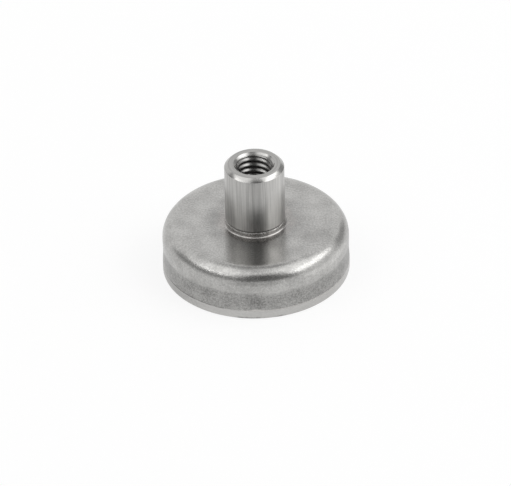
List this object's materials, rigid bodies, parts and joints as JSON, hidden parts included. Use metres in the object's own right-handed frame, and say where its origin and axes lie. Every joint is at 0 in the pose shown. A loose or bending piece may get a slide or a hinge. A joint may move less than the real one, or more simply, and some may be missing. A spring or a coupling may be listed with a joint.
{
  "type": "pot magnet with threaded bush",
  "caption": "Round encapsulated pot magnet in a drawn stainless steel housing, with a welded bush on top that has an internal thread for fixing.",
  "frame": {"origin": "centre of the magnetic face, on the underside of the base cover", "axes": "+Z along the axis of the cup and the bush, from the magnetic face towards the bush's end"},
  "size_m": [0.02, 0.02, 0.0132],
  "materials": {
    "drawn_stainless": "satin, as drawn",
    "cover_stainless": "fine ground",
    "weld_metal": "as welded",
    "turned_stainless": "bright drawn and turned",
    "mild_steel": "plain",
    "plated_magnet": "nickel plated",
    "resin": "cast"
  },
  "bodies": {
    "root": {"housing": "drawn_stainless", "base_cover": "cover_stainless", "seam_weld": "weld_metal", "threaded_bush": "turned_stainless", "bush_weld": "weld_metal", "pole_pot": "mild_steel", "magnet": "plated_magnet", "casting_resin": "resin"}
  },
  "joints": []
}
